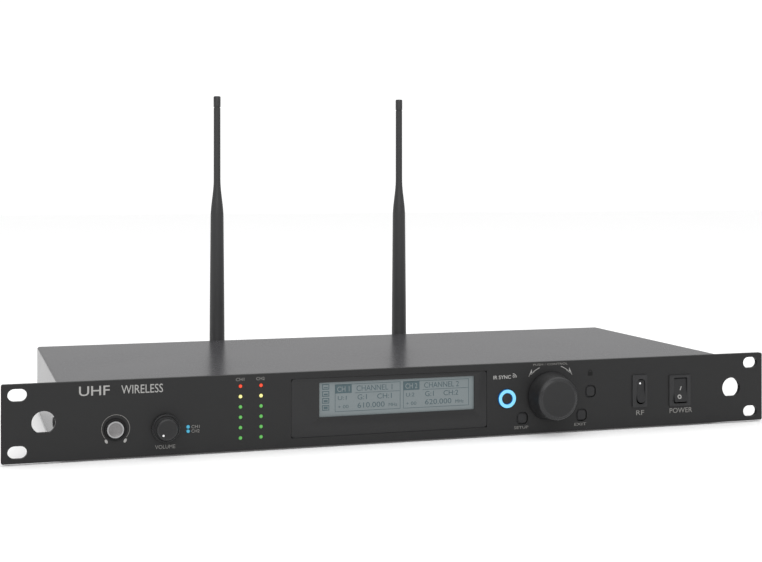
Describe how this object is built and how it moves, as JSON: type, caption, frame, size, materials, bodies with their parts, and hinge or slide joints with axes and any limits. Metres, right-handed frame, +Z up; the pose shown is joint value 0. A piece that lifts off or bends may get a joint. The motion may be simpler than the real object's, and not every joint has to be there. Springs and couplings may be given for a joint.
{
  "type": "rack-mount wireless receiver unit",
  "caption": "Rack-width wireless audio unit with display, level lights, volume and control knobs, push buttons, rocker switches and tilting whip antennas.",
  "frame": {"origin": "centre of the rack slot pattern on the rear face of the front panel, the plane that meets the rack rails", "axes": "+X to the right seen from the front, +Y from the panel towards the back of the unit, +Z up"},
  "size_m": [0.4826, 0.2183, 0.2193],
  "materials": {
    "panel_paint": "fine powder coat, charcoal, matt",
    "case_paint": "smooth satin grey paint on steel",
    "black_screw": "black oxide",
    "plated_steel": "zinc or tin plate",
    "plated_brass": "bright nickel plate",
    "foot_rubber": "matt moulded rubber",
    "window_tint": "smoke-tinted acrylic, satin hard coat",
    "lcd_glass": "grey negative display glass",
    "lcd_frame": "white moulded light guide and frame",
    "led_red": "lit red light pipe",
    "led_yellow": "lit yellow light pipe",
    "led_green": "lit green light pipe",
    "led_blue": "lit blue light pipe",
    "ring_glow": "lit translucent ring",
    "circuit_board": "green solder mask on glass-epoxy",
    "black_plastic": "fine-textured moulding",
    "key_plastic": "smooth matt moulding",
    "knob_plastic": "soft matt moulding",
    "cap_metal": "satin turned metal",
    "black_aluminium": "black anodised extrusion",
    "cable_jacket": "smooth cable jacket",
    "antenna_rubber": "smooth satin moulded sleeve"
  },
  "bodies": {
    "case": {"front_panel": "panel_paint", "chassis_tray": "case_paint", "top_cover": "case_paint", "cover_screws": "black_screw", "machine_screws": "plated_steel", "rubber_feet": "foot_rubber", "display_window": "window_tint", "lcd_glass": "lcd_glass", "lcd_backlight": "lcd_frame", "meter_leds_red": "led_red", "meter_leds_yellow": "led_yellow", "meter_leds_green": "led_green", "channel_leds_blue": "led_blue", "control_board": "circuit_board", "headphone_socket": "black_plastic", "headphone_ring": "black_plastic", "bushing_nuts": "plated_brass", "volume_pot": "plated_steel", "encoder_body": "plated_steel", "tact_switches": "black_plastic", "rf_switch_body": "black_plastic", "power_switch_body": "black_plastic", "antenna_sockets": "plated_brass", "antenna_socket_nuts": "plated_brass", "xlr_socket_left": "black_plastic", "xlr_socket_right": "black_plastic", "xlr_screws": "black_screw", "jack_sockets": "black_plastic", "dc_inlet": "black_plastic", "network_socket": "plated_steel", "cord_hook": "black_plastic", "main_board": "circuit_board", "board_spacers": "plated_brass", "shield_cans": "plated_steel", "heatsink": "black_aluminium", "ribbon_cable": "cable_jacket", "antenna_leads": "cable_jacket", "antenna_left_coupling": "plated_brass", "antenna_right_coupling": "plated_brass"},
    "volume_control": {"volume_shaft": "plated_brass", "volume_knob": "knob_plastic"},
    "encoder_rotor": {"encoder_rotor": "black_plastic"},
    "control_knob": {"encoder_shaft": "plated_brass", "control_knob": "knob_plastic"},
    "headphone_cap": {"headphone_cap": "cap_metal"},
    "sync_key": {"sync_button": "key_plastic", "sync_light_ring": "ring_glow"},
    "setup_key": {"setup_button": "key_plastic"},
    "exit_key": {"exit_button": "key_plastic"},
    "lock_key": {"lock_button": "key_plastic"},
    "rf_rocker": {"rf_switch_rocker": "key_plastic"},
    "power_rocker": {"power_switch_rocker": "key_plastic"},
    "left_elbow": {"antenna_left_elbow": "black_plastic", "antenna_left_hinge_pin": "plated_steel"},
    "left_whip": {"antenna_left_whip": "antenna_rubber"},
    "right_elbow": {"antenna_right_elbow": "black_plastic", "antenna_right_hinge_pin": "plated_steel"},
    "right_whip": {"antenna_right_whip": "antenna_rubber"}
  },
  "joints": [
    {"name": "volume_turn", "type": "hinge", "parent": "case", "child": "volume_control", "pos_m": [-0.1504, 0, -0.0064], "axis": [0, 1, 0], "range_deg": [0, 270]},
    {"name": "control_turn", "type": "hinge", "parent": "case", "child": "encoder_rotor", "pos_m": [0.0894, 0, 0.0006], "axis": [0, 1, 0], "continuous": true},
    {"name": "control_push", "type": "slide", "parent": "encoder_rotor", "child": "control_knob", "axis": [0, 1, 0], "range_m": [0, 0.0005], "stiffness_N_per_m": 400, "springref_m": -0.001},
    {"name": "headphone_cap_pull", "type": "slide", "parent": "case", "child": "headphone_cap", "axis": [0, -1, 0], "range_m": [0, 0.012]},
    {"name": "sync_push", "type": "slide", "parent": "case", "child": "sync_key", "axis": [0, 1, 0], "range_m": [0, 0.00035], "stiffness_N_per_m": 300, "springref_m": -0.0008},
    {"name": "setup_push", "type": "slide", "parent": "case", "child": "setup_key", "axis": [0, 1, 0], "range_m": [0, 0.00035], "stiffness_N_per_m": 300, "springref_m": -0.0008},
    {"name": "exit_push", "type": "slide", "parent": "case", "child": "exit_key", "axis": [0, 1, 0], "range_m": [0, 0.00035], "stiffness_N_per_m": 300, "springref_m": -0.0008},
    {"name": "lock_push", "type": "slide", "parent": "case", "child": "lock_key", "axis": [0, 1, 0], "range_m": [0, 0.00035], "stiffness_N_per_m": 300, "springref_m": -0.0008},
    {"name": "rf_rock", "type": "hinge", "parent": "case", "child": "rf_rocker", "pos_m": [0.15235, 0.0004, 0.0005], "axis": [1, 0, 0], "range_deg": [0, 14]},
    {"name": "power_rock", "type": "hinge", "parent": "case", "child": "power_rocker", "pos_m": [0.1807, 0.0004, 0], "axis": [1, 0, 0], "range_deg": [0, 14]},
    {"name": "left_swivel", "type": "hinge", "parent": "case", "child": "left_elbow", "pos_m": [-0.083, 0.1958, -0.001], "axis": [0, 1, 0], "range_deg": [-90, 18]},
    {"name": "left_tilt", "type": "hinge", "parent": "left_elbow", "child": "left_whip", "pos_m": [-0.083, 0.1958, -0.001], "axis": [-1, 0, 0], "range_deg": [0, 90]},
    {"name": "right_swivel", "type": "hinge", "parent": "case", "child": "right_elbow", "pos_m": [0.0557, 0.1958, -0.001], "axis": [0, 1, 0], "range_deg": [-18, 90]},
    {"name": "right_tilt", "type": "hinge", "parent": "right_elbow", "child": "right_whip", "pos_m": [0.0557, 0.1958, -0.001], "axis": [-1, 0, 0], "range_deg": [0, 90]}
  ]
}
